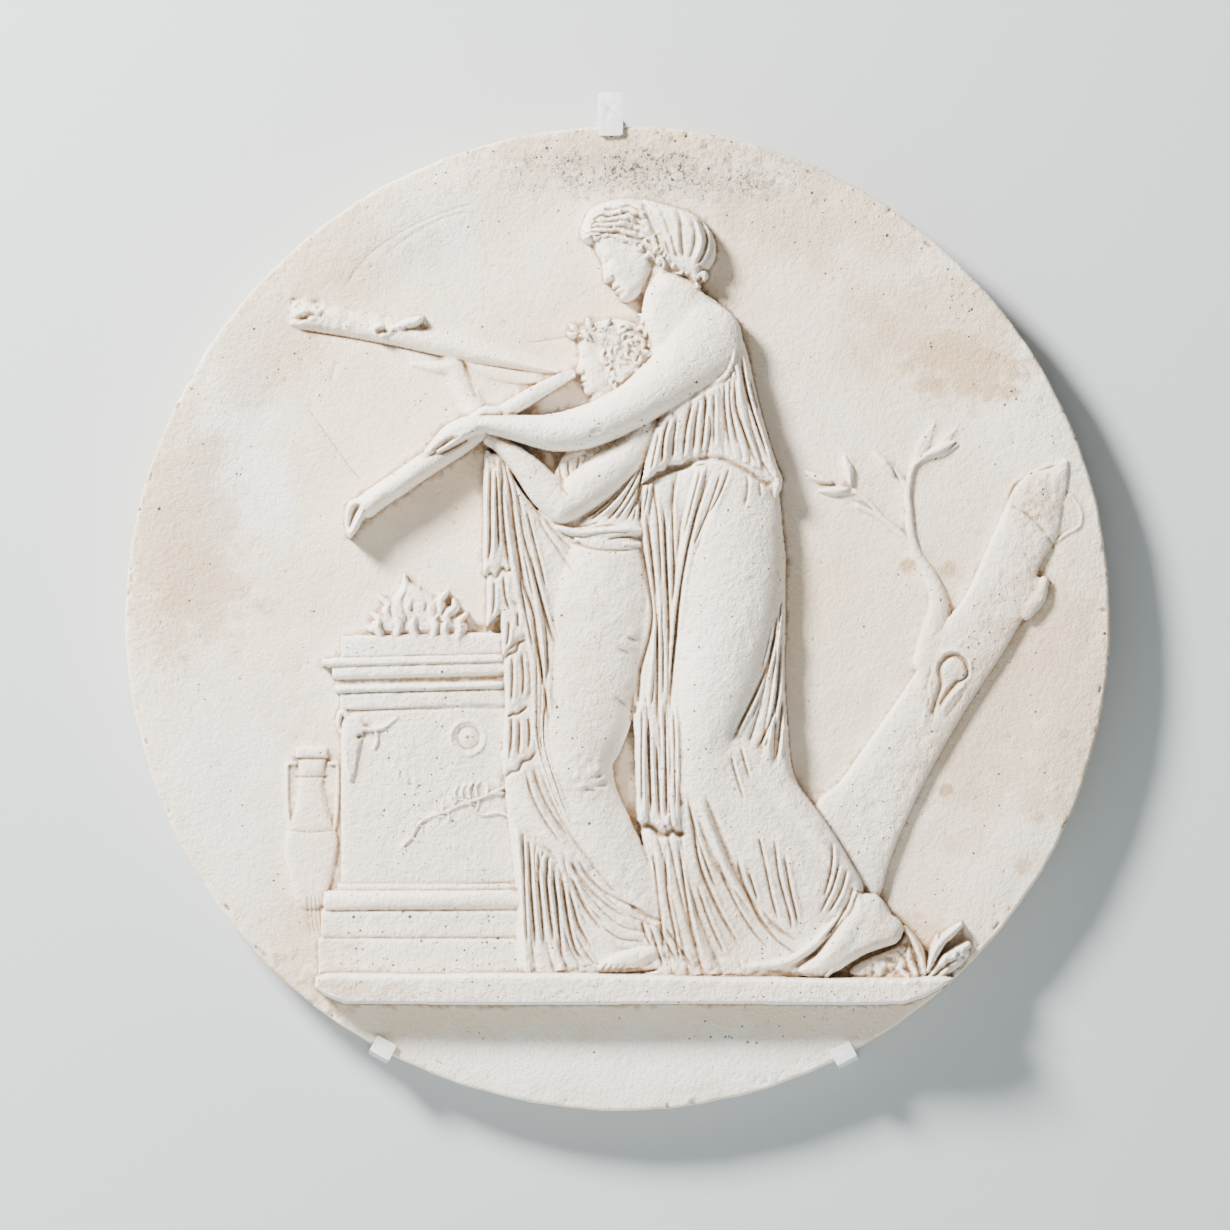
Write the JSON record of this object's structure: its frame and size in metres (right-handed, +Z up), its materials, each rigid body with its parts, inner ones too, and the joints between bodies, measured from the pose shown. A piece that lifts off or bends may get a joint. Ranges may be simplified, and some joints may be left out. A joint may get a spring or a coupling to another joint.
{
  "type": "round plaster relief",
  "caption": "Round plaster wall relief: a draped woman leans over a child playing a double pipe by an altar, hung on small metal brackets.",
  "frame": {"origin": "middle of the disc's flat back, on the wall that it hangs on", "axes": "+X to the right of someone who faces the relief, +Y back into the wall, +Z up; the carving faces -Y"},
  "size_m": [0.78, 0.073, 0.8061],
  "materials": {
    "plaster": "matt aged plaster of Paris, warm off-white, stained and pitted",
    "bracket_metal": "satin white paint on steel strip"
  },
  "bodies": {
    "root": {"plaster_roundel": "plaster", "top_hanging_bracket": "bracket_metal", "lower_left_clip": "bracket_metal", "lower_right_clip": "bracket_metal"}
  },
  "joints": []
}
